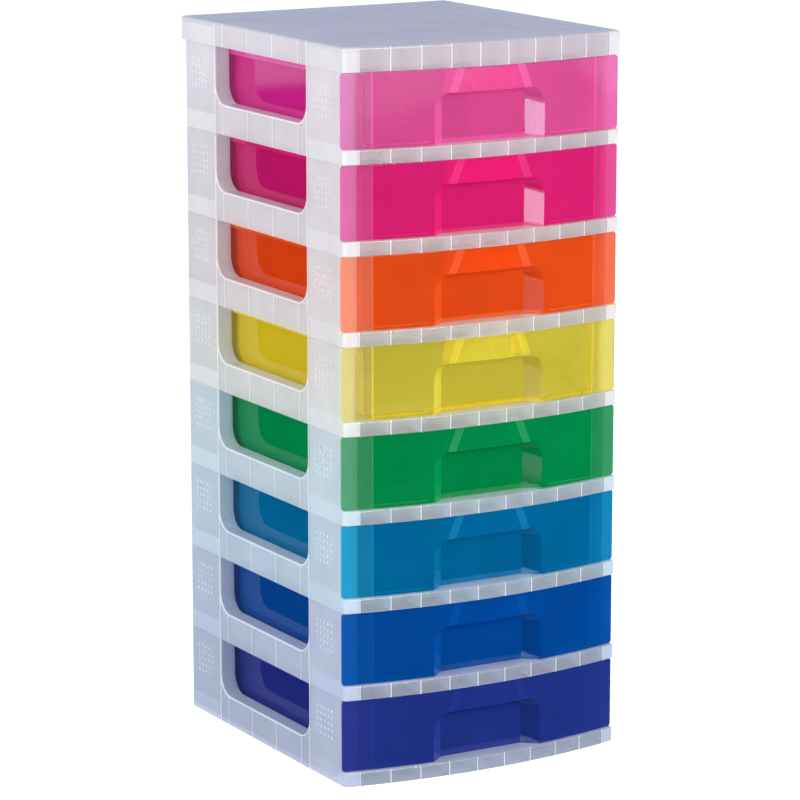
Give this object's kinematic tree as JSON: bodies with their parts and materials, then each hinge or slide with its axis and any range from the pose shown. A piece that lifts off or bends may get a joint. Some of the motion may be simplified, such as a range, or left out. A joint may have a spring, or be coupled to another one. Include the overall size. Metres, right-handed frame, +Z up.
{
  "type": "drawer tower",
  "caption": "Free-standing tower of stacked see-through modules with coloured pull-out drawers and a flat lid.",
  "frame": {"origin": "on the floor, under the middle of the tower's overall box, which takes in the bowed front and the lid's rear overhang", "axes": "+Z up, -Y out of the drawer fronts, +X to the right of someone facing the back, so to the viewer's right when looking at the front"},
  "size_m": [0.383, 0.435, 0.8846],
  "materials": {
    "clear_frame": "see-through milky polypropylene, as moulded",
    "clear_lid": "see-through milky polypropylene, fine matt top",
    "pink_drawer": "see-through pink polypropylene, glossy as moulded",
    "magenta_drawer": "see-through magenta polypropylene, glossy as moulded",
    "orange_drawer": "see-through orange polypropylene, glossy as moulded",
    "yellow_drawer": "see-through yellow polypropylene, glossy as moulded",
    "green_drawer": "see-through green polypropylene, glossy as moulded",
    "cyan_drawer": "see-through cyan polypropylene, glossy as moulded",
    "blue_drawer": "see-through blue polypropylene, glossy as moulded",
    "indigo_drawer": "see-through indigo polypropylene, glossy as moulded"
  },
  "bodies": {
    "tower": {"frame_1": "clear_frame", "frame_2": "clear_frame", "frame_3": "clear_frame", "frame_4": "clear_frame", "frame_5": "clear_frame", "frame_6": "clear_frame", "frame_7": "clear_frame", "frame_8": "clear_frame", "lid": "clear_lid"},
    "drawer_1": {"drawer_1": "indigo_drawer"},
    "drawer_2": {"drawer_2": "blue_drawer"},
    "drawer_3": {"drawer_3": "cyan_drawer"},
    "drawer_4": {"drawer_4": "green_drawer"},
    "drawer_5": {"drawer_5": "yellow_drawer"},
    "drawer_6": {"drawer_6": "orange_drawer"},
    "drawer_7": {"drawer_7": "magenta_drawer"},
    "drawer_8": {"drawer_8": "pink_drawer"}
  },
  "joints": [
    {"name": "drawer_1_slide", "type": "slide", "parent": "tower", "child": "drawer_1", "axis": [0, -1, 0], "range_m": [0, 0.3]},
    {"name": "drawer_2_slide", "type": "slide", "parent": "tower", "child": "drawer_2", "axis": [0, -1, 0], "range_m": [0, 0.3]},
    {"name": "drawer_3_slide", "type": "slide", "parent": "tower", "child": "drawer_3", "axis": [0, -1, 0], "range_m": [0, 0.3]},
    {"name": "drawer_4_slide", "type": "slide", "parent": "tower", "child": "drawer_4", "axis": [0, -1, 0], "range_m": [0, 0.3]},
    {"name": "drawer_5_slide", "type": "slide", "parent": "tower", "child": "drawer_5", "axis": [0, -1, 0], "range_m": [0, 0.3]},
    {"name": "drawer_6_slide", "type": "slide", "parent": "tower", "child": "drawer_6", "axis": [0, -1, 0], "range_m": [0, 0.3]},
    {"name": "drawer_7_slide", "type": "slide", "parent": "tower", "child": "drawer_7", "axis": [0, -1, 0], "range_m": [0, 0.3]},
    {"name": "drawer_8_slide", "type": "slide", "parent": "tower", "child": "drawer_8", "axis": [0, -1, 0], "range_m": [0, 0.3]}
  ]
}
